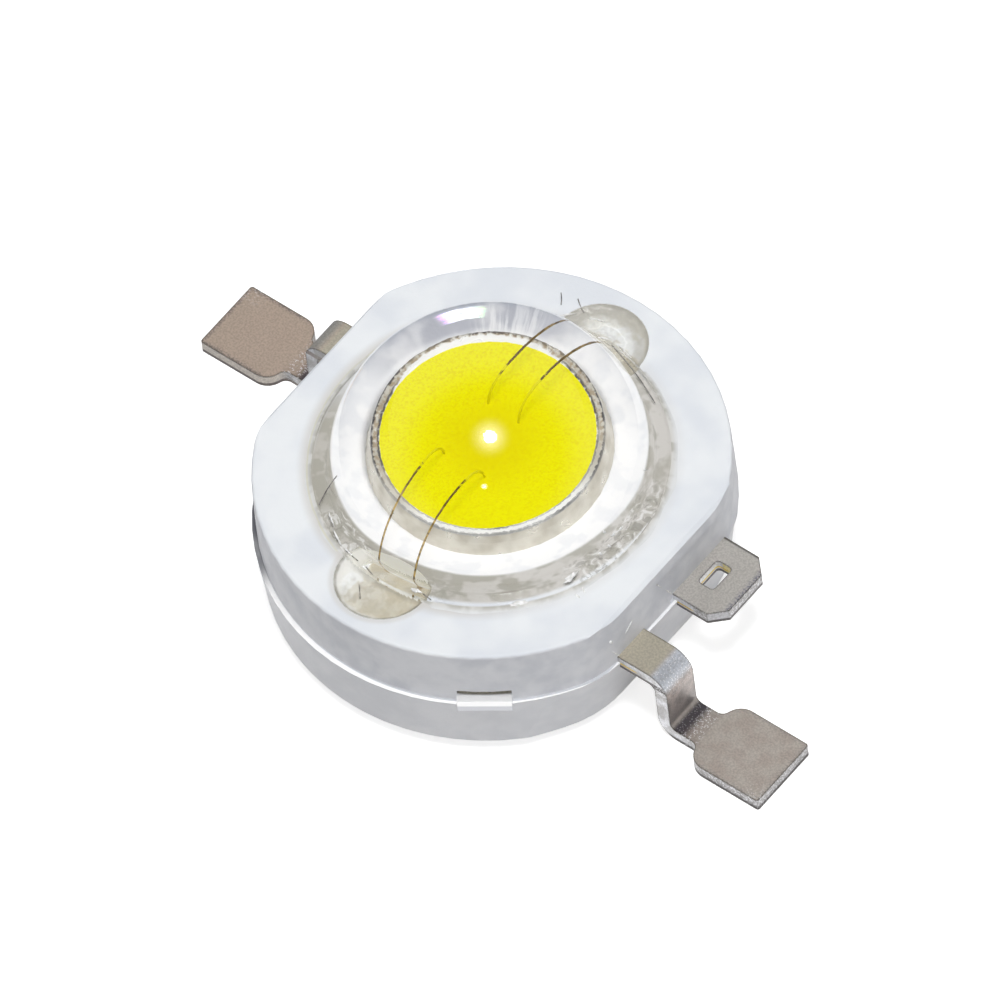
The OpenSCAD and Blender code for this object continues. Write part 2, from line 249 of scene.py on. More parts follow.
def mixShaders(factor, first, second):
    return add(factor.tree, "MixShader", {0: factor, 1: first, 2: second})[0]


def addShaders(first, second):
    return add(first.tree, "AddShader", {0: first, 1: second})[0]


def seeThrough(tree):
    return add(tree, "BsdfTransparent")[0]


def rgba(red, green, blue):  # a colour as seen, 0 to 255, in the linear values that a socket takes
    return [((c / 255 + 0.055) / 1.055) ** 2.4 if c > 10 else c / 3295 for c in (red, green, blue)] + [1]


def newGroup(name, inputs, outputs):  # an input without a value takes a vector
    group = bpy.data.node_groups.new(name, "ShaderNodeTree")
    for title, value in inputs.items():
        kind = "NodeSocketVector" if value is None else "NodeSocketFloat"
        socket = group.interface.new_socket(title, in_out="INPUT", socket_type=kind)
        if value is not None:
            socket.default_value = value
    for title in outputs:
        group.interface.new_socket(title, in_out="OUTPUT", socket_type="NodeSocketFloat")
    return group, Made(group.nodes.new("NodeGroupInput")), group.nodes.new("NodeGroupOutput").inputs


# Grain: a fine noise for a height and a coarse one for a tone
def makeGrainGroup():
    inputs = {"Vector": None, "Grain size": 0.05, "Patch size": 1.0}
    group, given, result = newGroup("surfaceGrain", inputs, ["Height", "Tone"])
    put(result["Height"], noiseAt(given["Vector"], 1.0 / given["Grain size"], 3))
    put(result["Tone"], noiseAt(given["Vector"], 1.0 / given["Patch size"], 2))
    return group


# Specks: scattered round spots, such as dust, pits and sparkles
def makeSpeckGroup():
    inputs = {"Vector": None, "Spacing": 0.5, "Size": 0.2, "Share": 0.3}
    group, given, result = newGroup("specks", inputs, ["Mask"])
    cells = add(group, "TexVoronoi", {"Vector": given["Vector"], "Scale": 1.0 / given["Spacing"]})
    chance = add(group, "SeparateColor", {"Color": cells["Color"]})[0]
    chosen = maths("LESS_THAN", chance, given["Share"])
    put(result["Mask"], chosen * maths("LESS_THAN", cells["Distance"], given["Size"]))
    return group


# Edge mask: 1 along sharp edges, within a radius in metres
def makeEdgeGroup():
    group, given, result = newGroup("edgeMask", {"Radius": 0.00003}, ["Mask"])
    rounded = add(group, "Bevel", {"Radius": given["Radius"]}, samples=6)[0]
    put(result["Mask"], ramp(dot(rounded, add(group, "NewGeometry")["Normal"]), 0.995, 0.90))
    return group


# Band: 1 near one value of a coordinate, such as a seam at a height
def makeBandGroup():
    group, given, result = newGroup("band", {"Value": 0.0, "Middle": 0.0, "Half width": 0.1}, ["Mask"])
    put(result["Mask"], ramp(abs(given["Value"] - given["Middle"]) / given["Half width"], 1.0, 0.4))
    return group


grainGroup = makeGrainGroup()
speckGroup = makeSpeckGroup()
edgeGroup = makeEdgeGroup()
bandGroup = makeBandGroup()


def useGroup(tree, group, inputs):
    return add(tree, "Group", inputs, node_tree=group)


def grainAt(place, grainSize, patchSize=1.0):  # its height and its tone
    sizes = {"Grain size": grainSize, "Patch size": patchSize}
    grain = useGroup(place.tree, grainGroup, {"Vector": place, **sizes})
    return grain["Height"], grain["Tone"]


# White moulding: cool white plastic with a faint grain, a dark line along the seam on one side, and
# painted light and shade: walls a little darker than the top, a very white floor under the dome, a
# greyish ring of shade round it, glints in wrinkles, shadows round the lens's foot and a pocket, lit
# pocket walls and lower walls, and a highlight on the seam's ledge
mouldingFinish = {
    "white": rgba(238, 241, 244),
    "patch": rgba(226, 230, 236),
    "wall": rgba(230, 231, 235),
    "wallPatch": rgba(212, 214, 220),
    # painted light: the walls below the seam lighter, for light thrown up from the floor
    "lowerWall": rgba(246, 246, 248),
    "lowerShare": 0.45,
    # painted light: the floor under the dome whiter than the moulding
    "floorWhite": rgba(254, 254, 254),
    "floorSmudge": rgba(243, 244, 246),
    "floorR": 2.08,  # mm, where the floor's painted light ends
    "frontDraw": 0.16,  # how much nearer it ends in front
    # painted shade: a mottled grey ring under the lens's edge, where less light gets in
    "glue": rgba(174, 171, 161),
    "gluePale": rgba(210, 207, 202),
    "glueR": 2.93,
    # the dark folds of the painted wrinkles
    "crumple": rgba(146, 143, 136),
    "pocketY": 2.83,
    "pocketR": 0.84,
    # painted light: the pockets' walls whiter than the other walls
    "pocketWall": rgba(246, 246, 240),
    "pocketGlow": 0.16,  # painted light: a glow standing in for light that comes through the plastic there
    "haloWidth": 0.1,  # a faint painted shadow round the near pocket
    "shade": rgba(172, 174, 184),
    "shadeFrom": 1.6,  # the streaked grey band on the far side of the floor
    "shadeTo": 1.95,
    # the ledge's painted highlight and painted shade
    "ledgeWhite": rgba(254, 254, 254),
    "ledgeGrey": rgba(196, 198, 204),
    "flatLedge": 0.6,
    "ledgeFrom": (3.925, 3.955),  # where its painted highlight starts, on the left and on the right
    "seamDirt": rgba(112, 113, 120),
    "seamHeight": 1.345,
    "seamHalf": 0.03,
    "grainSize": 0.045,
    "patchSize": 1.1,
    "grainDepth": 0.004,
    "roughness": 0.55,
}


def whiteMoulding(s):
    material, tree = newMaterial("whiteMoulding")
    place = millimetres(tree)
    x, y, z = apart(place)
    radius = length(together(x, y))
    fromAxis = most(radius, 0.1)
    farSide, rightSide = (y - x) / fromAxis, (y + x) / fromAxis  # from -1.41 to 1.41
    height, tone = grainAt(place, s["grainSize"], s["patchSize"])
    blotchHeight, blotch = grainAt(place, 0.09, 0.32)
    up = facing(tree)[2]
    onWall = ramp(up, 0.75, 0.35)
    # the walls a little darker than the top: painted shade; the patches are the plastic's own mottle
    wall = layers(s["wall"], [
        (ramp(tone * 0.6 + blotch * 0.4, 0.38, 0.64), s["wallPatch"]),
        # below the seam, painted light from the floor
        (ramp(z, 1.38, 1.34, 0, s["lowerShare"]), s["lowerWall"]),
    ])

    # under the lens: a floor whiter than the moulding, painted light that the dome gathers there, then
    # a mottled grey ring of painted shade, where less light gets in under the lens's edge
    low = ramp(z, 2.2, 2.3)
    drawn = radius + ramp(farSide, -0.4, -1.3) * s["frontDraw"]
    floor = ramp(drawn, s["floorR"] + 0.05, s["floorR"] - 0.03) * low
    glue = between(drawn, s["floorR"], s["glueR"], 0.04) * low * ramp(farSide, 1.15, 0.6, 0.3, 1)
    paleShare = maths("ADD", ramp(blotch, 0.38, 0.62), ramp(rightSide, -1.3, 1.1, -0.5, 0.2), clamp=True)

    # painted glints and shade of wrinkled silicone in the ring, low on the left and low on the right
    folds = noiseAt(place, 6.5, 3, Distortion=1.0)
    lowLeft = ramp(rightSide, -0.45, -0.8) * ramp(farSide, -0.1, -0.4)
    lowRight = ramp(rightSide, 0.35, 0.75) * ramp(farSide, -0.3, -0.7)
    crumple = most(lowLeft, lowRight) * between(radius, 2.15, 2.95, 0.05) * low

    # a streaked grey band on the far side
    streaks = noiseAt(together(maths("ARCTAN2", y, x) * 16.0, radius), 1.9, 3)
    ribs = between(rightSide, 0.05, 0.55, 0.1) * ramp(streaks, 0.4, 0.6, 0.55, 0)
    shade = between(radius, s["shadeFrom"], s["shadeTo"], 0.05) * ramp(farSide, 1.0, 1.38) * low
    shade = shade * (0.85 - ribs) * ramp(blotch, 0.38, 0.62, 0.55, 1)

    # painted shadow on the top face round the lens's foot, stronger on the left, and round the near
    # pocket; painted light on the pockets' walls
    footShadow = ramp(radius, 3.2, 2.98) * ramp(radius, 2.9, 2.95) * low * ramp(rightSide, 0.3, -0.6, 0.25, 0.8)
    fromPocket = length(together(x, abs(y) - s["pocketY"]))
    # the pockets' walls under the lens, whitened and glowing: painted light
    sunk = ramp(fromPocket, s["pocketR"], s["pocketR"] - 0.01) * between(z, 1.4, 2.52, 0.03) * onWall
    pocketShadow = ramp(fromPocket, s["pocketR"] + s["haloWidth"], s["pocketR"], 0, 0.55)
    pocketShadow = pocketShadow * ramp(y, 1, -1) * low * ramp(radius, 2.95, 3.0)

    # the seam: a ledge with a painted highlight on its outer part and painted shade on its inner part,
    # and a dark line along it on the left
    band = {"Value": z, "Middle": s["seamHeight"], "Half width": s["seamHalf"]}
    seam = useGroup(tree, bandGroup, band)["Mask"]
    ledge = ramp(up, 0.3, 0.6) * between(z, 1.3, 1.37, 0.01)
    litLedge = ramp(radius - ramp(x, -1.5, 1.5, *s["ledgeFrom"]), -0.012, 0.012)
    litLedge = most(litLedge, ramp(abs(x), 3.54, 3.56) * s["flatLedge"])
    return finish(material, {
        "Base Color": layers(s["white"], [
            (ramp(tone, 0.35, 0.65), s["patch"]),
            (onWall, wall),
            (floor, mix(ramp(blotch, 0.45, 0.62), s["floorWhite"], s["floorSmudge"])),
            (glue, mix(paleShare, s["glue"], s["gluePale"])),
            (crumple * ramp(folds, 0.52, 0.64) * 0.5, s["floorWhite"]),
            (crumple * ramp(folds, 0.47, 0.38) * 0.6, s["crumple"]),
            (shade, s["shade"]),
            (footShadow, s["gluePale"]),
            (sunk, s["pocketWall"]),
            (pocketShadow, s["gluePale"]),
            (ledge, mix(litLedge, s["ledgeGrey"], s["ledgeWhite"])),
            # a dark line along the seam on the left
            (seam * ramp(x + y * 0.4, -3.3, -3.7) * ramp(tone, 0.2, 0.6, 0.4, 1), s["seamDirt"]),
        ]),
        "Roughness": ramp(height, 0.3, 0.7, s["roughness"] - 0.08, s["roughness"] + 0.08),
        "Specular IOR Level": 0.35,
        "Normal": bump(height + glue * blotchHeight, s["grainDepth"]),
        "Emission Color": mix(sunk * s["pocketGlow"], rgba(0, 0, 0), s["pocketWall"]),
        "Emission Strength": 1.0,
    })


# Plated slug: bright silver plate with fine turning marks, and a rim with a dark line on either side;
# its near side and the cup's lit inner wall carry a painted highlight
slugFinish = {
    "plate": rgba(230, 226, 214),
    "dull": rgba(205, 199, 184),
    "line": rgba(84, 82, 84),
    # the painted highlight on the rim's near side and the cup's lit inner wall
    "bright": rgba(254, 254, 250),
    "brown": rgba(176, 152, 112),
    "rimZ": 2.74,  # mm, above this it is the rim
    "mouthR": 1.36,
    "rimIn": 1.385,
    "rimOut": 1.448,
    "wallShows": 0.075,  # how wide the cup's lit inner wall shows on the far side
    "metal": 0.7,
    "ringPitch": 0.06,  # between turning marks
    "ringDepth": 0.0015,
    "roughness": 0.34,
}


def platedSlug(s):
    material, tree = newMaterial("platedSlug")
    place = millimetres(tree)
    x, y, z = apart(place)
    radius = length(together(x, y))
    rings = maths("SINE", radius * (2 * pi / s["ringPitch"]))
    height, tone = grainAt(place, 0.03, 0.3)
    chips = grainAt(place, 0.02, 0.07)[1]
    onTop = ramp(z, s["rimZ"], s["rimZ"] + 0.03)
    # the rim's near side: a painted highlight
    nearHighlight = ramp(x - y, 0.6, 1.6) * onTop
    wavy = radius + (chips - 0.5) * 0.08
    lines = onTop * (1.0 - between(wavy, s["rimIn"], s["rimOut"], 0.008))
    lines = lines * ramp(noiseAt(place, 1.3, 1), 0.38, 0.62, 0.45, 1)
    wallTo = ramp((y - x) / most(radius, 0.1), 0.85, 1.4, 1.35, s["mouthR"] + s["wallShows"])
    litWall = ramp(z, s["rimZ"] - 0.03, s["rimZ"]) * ramp(wavy - wallTo, 0.015, -0.015)
    return finish(material, {
        "Base Color": layers(s["plate"], [
            (ramp(tone, 0.3, 0.8), s["dull"]),
            (nearHighlight, s["bright"]),
            (onTop * ramp(x - y, 0.9, -0.3) * ramp(chips, 0.42, 0.6, 0, 0.75), s["brown"]),
            (lines * ramp(chips, 0.3, 0.5, 0.5, 0.95), s["line"]),
            (litWall, s["bright"]),
        ]),
        "Metallic": ramp(most(nearHighlight, litWall), 0, 1, s["metal"], 0.2),
        "Roughness": ramp(tone, 0.3, 0.7, s["roughness"] - 0.08, s["roughness"] + 0.12),
        "Normal": bump(rings * 0.5 + height, s["ringDepth"]),
    })


# Plated lead: matt tin over copper strip, with crazed bends and copper that shows gold at the root;
# glints on the bends and tips, a sheen on the right bend, bright cut sides and dark edge lines are
# painted reflections, and the riser's foot and the sides' lower edge carry painted shade
leadFinish = {
    "pad": rgba(201, 193, 184),
    "padPatch": rgba(192, 180, 171),
    "leftPad": rgba(198, 179, 163),
    "leftBend": rgba(178, 172, 160),
    # painted highlight on the left pad's cut side
    "leftSide": rgba(252, 242, 230),
    "shelf": rgba(200, 193, 175),
    # painted sheen: the right bend lighter and bluer than the strip
    "bend": rgba(208, 212, 220),
    "riser": rgba(166, 160, 158),
    "riserPale": rgba(220, 209, 204),
    "leftRiser": rgba(240, 220, 204),
    "tab": rgba(207, 203, 197),
    "tabEnd": rgba(120, 120, 142),
    "rim": rgba(112, 110, 112),
    # painted shade: a dark reflection where the riser bends onto the pad
    "foot": rgba(58, 54, 66),
    "side": rgba(236, 236, 240),
    "sideGrey": rgba(196, 194, 194),
    "tieHigh": rgba(254, 254, 254),
    "tieLow": rgba(206, 207, 212),
    "padSide": rgba(170, 167, 167),
    # painted shade along the foot of the cut sides
    "sideDark": rgba(96, 92, 92),
    "leftDark": rgba(160, 148, 140),
    "slotGold": rgba(250, 236, 176),
    "edge": rgba(76, 72, 64),
    "gold": rgba(226, 196, 84),
    "inside": rgba(222, 218, 207),
    # the painted glints
    "sparkle": rgba(250, 250, 252),
    "rootEnd": 3.97,  # mm, how far out the copper shows
    "bendX": 4.22,  # where the first bend starts
    "footX": 4.56,
    "padX": 5.05,
    "padY": 1.015,
    "tabEndX": 4.47,
    "tabFarY": 1.51,
    "grainSize": 0.02,
    "grainDepth": 0.004,
    "roughness": 0.36,
    "metal": 0.5,
    "edgeRadius": 0.05,
}


def platedLead(s):
    material, tree = newMaterial("platedLead")
    place = millimetres(tree)
    x, y, z = apart(place)
    radius = length(together(x, y))
    far, aside = abs(x), abs(y)
    faceX, faceY, faceZ = [abs(part) for part in facing(tree)]
    upright = ramp(faceZ, 0.35, 0.2)
    side = most(ramp(faceY, 0.5, 0.75), ramp(faceX, 0.5, 0.7) * ramp(far, 5.9, 6.0),
                upright * ramp(far, 4.9, 5.0), upright * between(z, 1.2, 1.48, 0.01))
    height, tone = grainAt(place, s["grainSize"], 0.28)
    craze = grainAt(place, 0.03, 0.035)[1]
    edge = useGroup(tree, edgeGroup, {"Radius": s["edgeRadius"] * mm})["Mask"]

    # along the strip
    bendX, footX, left, high = s["bendX"], s["footX"], ramp(x, 0.5, -0.5), ramp(z, 0.9, 1.1)
    tabPart = high * ramp(x * maths("SIGN", y), 0.0, 0.1) * ramp(far, 3.4, 3.5)
    bendPart = ramp(far, bendX - 0.06, bendX + 0.06) * high * (1.0 - tabPart)
    riserPart = between(far, 4.3, 4.95, 0.03) * ramp(z, 0.28, 0.4) * ramp(z, 1.3, 1.12)
    footPart = between(far, footX, s["padX"], 0.05) * ramp(z, 0.42, 0.34)
    riser = mix(ramp(tone, 0.25, 0.75) * ramp(z, 0.4, 1.0, 0.35, 1.25), s["riser"], s["riserPale"])

    # dark, crazed rims on the tab and the pads
    crazed = ramp(craze, 0.36, 0.6, 1, 0.25)
    tabRim = ramp(far, s["tabEndX"] - 0.13, s["tabEndX"] - 0.02) * crazed
    tabBack = ramp(aside, s["tabFarY"] - 0.05, s["tabFarY"] - 0.02)
    padRim = most(ramp(abs(aside - s["padY"]), 0.58, 0.67), ramp(far, 6.44, 6.54))
    padRim = padRim * ramp(far, 5.2, 5.4) * crazed * ramp(x, -0.5, 0.5, 0.75, 0.3)

    # cut sides: bright, a painted reflection of the bright floor, with a thin painted shade along their
    # foot; the left pad's side carries a painted highlight
    padSide = mix(left, mix(ramp(craze, 0.48, 0.64, 0, 0.75), s["padSide"], s["side"]), s["leftSide"])
    corner = between(faceX, 0.45, 0.85, 0.1)
    inSlot = tabPart * between(far, 3.8, 4.2, 0.01) * between(aside, 0.3, 1.3, 0.02)
    tabSide = layers(padSide, [
        (corner, s["side"]),
        (inSlot, s["slotGold"]),
        (ramp(far, 4.0, 3.9) * (1.0 - inSlot), s["side"]),
    ])
    upSide = most(between(z, 1.28, 1.6, 0.012), between(z, 0.07, 1.16, 0.012))
    sideTone = layers(s["side"], [
        (ramp(tone, 0.4, 0.62), s["sideGrey"]),
        (tabPart, tabSide),
        (ramp(far, 4.95, 5.15), padSide),
    ])
    sideTone = mix(upSide, mix(left, s["sideDark"], s["leftDark"]), sideTone)

    # painted glints, dense on the bends and at the tips
    specks = {"Vector": place, "Spacing": 0.026, "Size": 0.5, "Share": 0.34}
    sparkle = useGroup(tree, speckGroup, specks)["Mask"]
    where = most(bendPart * ramp(x, -0.5, 0.5, 0.25, 1),
                 footPart * ramp(far, footX + 0.1, footX + 0.3, 0.3, 1),
                 edge * ramp(side, 0.0, 1.0, 0.25, 1) * ramp(x, -0.5, 0.5, 0.3, 0.9),
                 ramp(far, 6.1, 6.4) * ramp(aside, 1.2, 1.6) * 0.6)

    # within the moulding, and at the tie bars' ends, the plate is bright
    inside = ramp(radius, 3.5, 3.45)
    tieEnd = ramp(radius, 3.86, 3.9) * ramp(far, 3.2, 3.0)
    goldLine = ramp(far, s["rootEnd"], s["rootEnd"] - 0.12) * side * between(z, 1.30, 1.34, 0.01)
    dull = most(left * side, tabPart * side * corner, left * riserPart)
    rough = ramp(tone, 0.3, 0.7, s["roughness"] - 0.06, s["roughness"] + 0.1)
    return finish(material, {
        "Base Color": layers(mix(left, mix(ramp(tone, 0.35, 0.7), s["pad"], s["padPatch"]), s["leftPad"]), [
            (ramp(far, bendX + 0.05, bendX - 0.1) * high, s["shelf"]),
            # the right bend: painted sheen
            (bendPart, mix(left, s["bend"], s["leftBend"])),
            (tabPart, s["tab"]),
            (tabPart * tabRim * 0.85, s["tabEnd"]),
            (tabPart * tabBack * 0.8, s["edge"]),
            (padRim, s["rim"]),
            (riserPart, mix(left, riser, s["leftRiser"])),
            # where the riser bends onto the pad: painted shade
            (footPart * ramp(far, footX + 0.34, footX + 0.14, 0.12, 0.92), s["foot"]),
            (side, sideTone),
            (ramp(craze, 0.3, 0.7, 0.25, 0), s["edge"]),
            # a dark outline along the edges: a painted reflection
            (edge * 0.85, s["edge"]),
            (goldLine, s["gold"]),
            (sparkle * where * 0.6, s["sparkle"]),
            (inside, mix(ramp(tone, 0.38, 0.62, 0, 0.14), s["inside"], s["gold"])),
            (tieEnd, mix(ramp(z, 1.31, 1.36), s["tieLow"], s["tieHigh"])),
        ]),
        "Metallic": ramp(dull, 0.0, 1.0, s["metal"], 0.0),
        "Roughness": rough + inside * 0.15,
        "Normal": bump(height + where * craze, s["grainDepth"]),
    })


# Phosphor: yellow powder set in silicone
phosphorFinish = {
    "yellow": rgba(245, 240, 6),
    "deep": rgba(230, 212, 4),
    "grainSize": 0.03,
    "grainDepth": 0.006,
    "deepReach": 0.95,  # mm, how far the darker middle reaches
}


def phosphorSilicone(s):
    material, tree = newMaterial("phosphorSilicone")
    place = millimetres(tree)
    height = grainAt(place, s["grainSize"], 0.5)[0]
    x, y, z = apart(place)
    colour = mix(ramp(length(together(x, y)), s["deepReach"], 0.2, 0, 0.6), s["yellow"], s["deep"])
    return finish(material, {
        "Base Color": mix(ramp(height, 0.42, 0.7, 0, 0.6), colour, s["deep"]),
        "Roughness": 0.75,
        "Specular IOR Level": 0.05,
        "Normal": bump(height, s["grainDepth"]),
    })


# Bond wire: drawn gold
wireFinish = {
    "gold": rgba(232, 198, 122),
    "dark": rgba(104, 84, 44),
    "creep": rgba(232, 222, 10),
    "nearCreep": (1.08, 0.82),  # mm from the middle, for the left and the right wire: nearer than this
    "farCreep": (0.8, 1.0),  # the phosphor has crept up it; on the near side, then on the far side
    "creepPatches": 0.9,
    "shadowLoss": 0.8,
    "roughness": 0.3,
}


def goldWire(s):
    material, tree = newMaterial("goldWire")
    place = millimetres(tree)
    x, y, z = apart(place)
    height, tone = grainAt(place, 0.02, 0.09)
    outward = abs(y)
    bare = ramp(outward, 1.2, 1.6, 0.12, 0.75) * ramp(y, -0.1, 0.1, 1, 0.45)
    metal = mix(bare * ramp(tone, 0.35, 0.6), s["dark"], s["gold"])
    onRight, farSide = ramp(x, -0.1, 0.1), ramp(y, -0.1, 0.1)
    nearReach, farReach = [ramp(onRight, 0, 1, *s[name]) for name in ("nearCreep", "farCreep")]
    reach = farSide * farReach + (1.0 - farSide) * nearReach
    crept = ramp(outward - reach + (tone - 0.5) * s["creepPatches"], 0.05, -0.1)
    shader = add(tree, "BsdfPrincipled", {
        "Base Color": mix(crept, metal, s["creep"]),
        "Metallic": ramp(crept, 0.0, 1.0, 0.8, 0),
        "Specular IOR Level": 0.15,
        "Roughness": s["roughness"],
        "Normal": bump(height, 0.001),
    })[0]
    inShadow = add(tree, "LightPath")["Is Shadow Ray"] * s["shadowLoss"]
    return finish(material, mixShaders(inShadow, shader, seeThrough(tree)))


# Chip and silver paste, under the phosphor
chipFinish = {"body": rgba(150, 170, 196), "grid": rgba(206, 178, 110), "paste": rgba(150, 148, 146)}


def chipSurface(s):
    material, tree = newMaterial("chipSurface")
    scaled = vectorMath("SCALE", {0: millimetres(tree), "Scale": 5})[0]
    lines = maths("LESS_THAN", apart(vectorMath("FRACTION", {0: scaled})[0])[0], 0.12)
    colour = mix(lines, s["body"], s["grid"])
    return finish(material, {"Base Color": colour, "Metallic": lines, "Roughness": 0.2})


def silverPaste(s):
    material, tree = newMaterial("silverPaste")
    height, tone = grainAt(millimetres(tree), 0.02, 0.1)
    return finish(material, {
        "Base Color": s["paste"],
        "Metallic": 0.8,
        "Roughness": ramp(tone, 0.3, 0.7, 0.45, 0.65),
        "Normal": bump(height, 0.004),
    })


# Clear parts: light for shadows and for diffuse surfaces passes straight through, the rest is bent
clearFinish = {
    "lensIndex": 1.5,
    "siliconeIndex": 1.42,
    "siliconeRoughness": 0.26,
    "milk": rgba(236, 236, 234),
    "milkDark": rgba(204, 202, 197),
    "milkYellow": rgba(208, 200, 176),
    "milkWhite": rgba(254, 254, 254),
    "greyMilk": rgba(230, 230, 230),
    "greyDark": rgba(188, 186, 182),
    "outline": rgba(142, 138, 130),
    "milkClear": 0.5,
    "underClear": 0.72,
    "pocketY": 2.83,  # mm
    "waveSize": 0.5,  # slow waves in the moulded surface
    "waveDepth": 0.002,
}


def finishClear(material, glass):
    tree = material.node_tree
    path = add(tree, "LightPath")
    bent = add(tree, "BsdfPrincipled", glass)[0]
    unbent = most(path["Is Shadow Ray"], path["Is Diffuse Ray"])
    return finish(material, mixShaders(unbent, bent, seeThrough(tree)))


def clearMaterial(name, index, s):
    material, tree = newMaterial(name)
    glass = {"Base Color": (1, 1, 1, 1), "Transmission Weight": 1.0, "IOR": index, "Roughness": 0.0}
    wave = bump(grainAt(millimetres(tree), s["waveSize"])[0], s["waveDepth"])
    return finishClear(material, {**glass, "Normal": wave})


# The pockets' tops: dusty, a little milky, and yellowish towards the lens, with painted highlights
# (white crescents and a white ring) and painted shade (grey bands and a dark line round the edge)
def cloudyMaterial(name, index, s, clear, roughness, depth):
    material, tree = newMaterial(name)
    place = millimetres(tree)
    x, y, z = apart(place)
    height, tone = grainAt(place, 0.06, 0.22)
    fromMiddle = length(together(x, abs(y) - s["pocketY"]))
    wander = (tone - 0.5) * 0.35
    wavy = fromMiddle + wander
    # on the far pocket: grey bands of painted shade and a white ring of painted highlight
    farMilk = layers(s["greyMilk"], [
        (ramp(wavy, 0.46, 0.64), s["greyDark"]),
        (between(wavy, 0.40, 0.44, 0.02) * 0.8, s["milkWhite"]),
        (between(wavy, 0.24, 0.27, 0.02) * 0.5, s["greyDark"]),
    ])
    # a dark line round the edge: painted shade
    outline = ramp(fromMiddle + wander * 0.1, 0.745, 0.785) * ramp(y, 1, -1, 0.3, 0.75)
    milk = layers(s["milk"], [
        (ramp(tone, 0.38, 0.62), s["milkDark"]),
        (ramp(y, -1, 1), farMilk),
        (ramp(x, -0.6, 0.5, 0, 0.6) * ramp(y, 1, -1, 0.25, 1), s["milkYellow"]),
        (ramp(x, -0.36, -0.6) * ramp(y, 0, -2), s["milkWhite"]),
        (outline * ramp(tone, 0.3, 0.6, 0.45, 1), s["outline"]),
    ])
    glass = {"Base Color": milk, "Transmission Weight": clear, "IOR": index, "Roughness": roughness}
    return finishClear(material, {**glass, "Normal": bump(height, depth)})


def clearLooks(s):
    return [
        clearMaterial("clearLens", s["lensIndex"], s),
        clearMaterial("lensInside", s["lensIndex"] / s["siliconeIndex"], s),
        cloudyMaterial("clearSilicone", s["siliconeIndex"], s, s["milkClear"], s["siliconeRoughness"], 0.006),
        cloudyMaterial("cloudyUnderLens", 1.0, s, s["underClear"], 0.0, 0.0),
        clearMaterial("siliconeUnderLens", 1.0, s),
    ]


lensOuterLook, lensInnerLook, siliconeLook, underLensLook, innerSiliconeLook = clearLooks(clearFinish)
print("materials made")


def dress(material, *names):
    for name in names:
        slots = nodes[name].data.materials
        slots.clear()
        slots.append(material)


dress(whiteMoulding(mouldingFinish), "body")
dress(platedSlug(slugFinish), "heat_slug")
dress(platedLead(leadFinish), "lead_anode", "lead_cathode")
dress(silverPaste(chipFinish), "die_attach")
dress(chipSurface(chipFinish), "led_chip")
dress(phosphorSilicone(phosphorFinish), "phosphor")
dress(goldWire(wireFinish), "bond_wire_1", "bond_wire_2", "bond_wire_3", "bond_wire_4")
print("frame dressed")


# Mesh helpers
def newPiece(name, mesh, slotName, *materials):
    piece = link(name, mesh)
    for material in materials:
        mesh.materials.append(material)
    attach(piece, "root")
    return piece


def onCircle(i, count):
    angle = 2 * pi * i / count
    return cos(angle), sin(angle)


def skin(mesh, rings, slotAt=None, closed=True):  # faces from each ring of points to the next
    for k, (inner, outer) in enumerate(zip(rings, rings[1:])):
        count = max(len(inner), len(outer))
        for i in range(count if closed else count - 1):
            j = (i + 1) % count
            corners = [inner[i % len(inner)], outer[i % len(outer)]]
            corners += [outer[j % len(outer)], inner[j % len(inner)]]
            face = mesh.faces.new(list(dict.fromkeys(corners)))
            face.smooth = True
            if slotAt:
                face.material_index = slotAt(k, i)


def spread(mesh, count, turns, pointAt):  # rings of points round a pole; pointAt gives each one in mm
    rings = []
    for k in range(count):
        around = [onCircle(i, turns) for i in range(turns if k else 1)]
        rings.append([mesh.verts.new(pointAt(k, c, n) * mm) for c, n in around])
    return rings


def meshData(name, mesh, sharpFrom=None):  # degrees
    bmesh.ops.recalc_face_normals(mesh, faces=mesh.faces)
    data = bpy.data.meshes.new(name)
    mesh.to_mesh(data)
    mesh.free()
    if sharpFrom:
        data.set_sharp_from_angle(angle=radians(sharpFrom))
    return data


def revolve(name, profile, turns, faceSlots):
    # profile: (radius, z) in mm from pole to pole; a radius of 0 makes one shared point
    mesh = bmesh.new()
    rings = []
    for radius, z in profile:
        ring = []
        for i in range(turns if radius else 1):
            c, s = onCircle(i, turns)
            ring.append(mesh.verts.new(Vector((radius * c, radius * s, z)) * mm))
        rings.append(ring)
    skin(mesh, rings, lambda k, i: faceSlots[k])
    return meshData(name, mesh, 35)


def arc(radius, centreZ, start, end, steps):  # points on a sphere's section, from one angle to another
    points = []
    for i in range(steps + 1):
        angle = radians(start + (end - start) * i / steps)
        across = radius * cos(angle)
        points.append((0 if across < 1e-6 else across, centreZ + radius * sin(angle)))
    return points


# Lens: a thin dome over a round flange, with a fillet between the two
lensShape = {
    "domeDiameter": 5.34,
    "wall": 0.30,
    "flange": 0.16,
    "fillet": 0.06,
    "edgeRound": 0.03,
    "raise": 0.002,  # its foot's gap from the moulding
    "turns": 256,
    "domeSteps": 72,
    "filletSteps": 6,
}


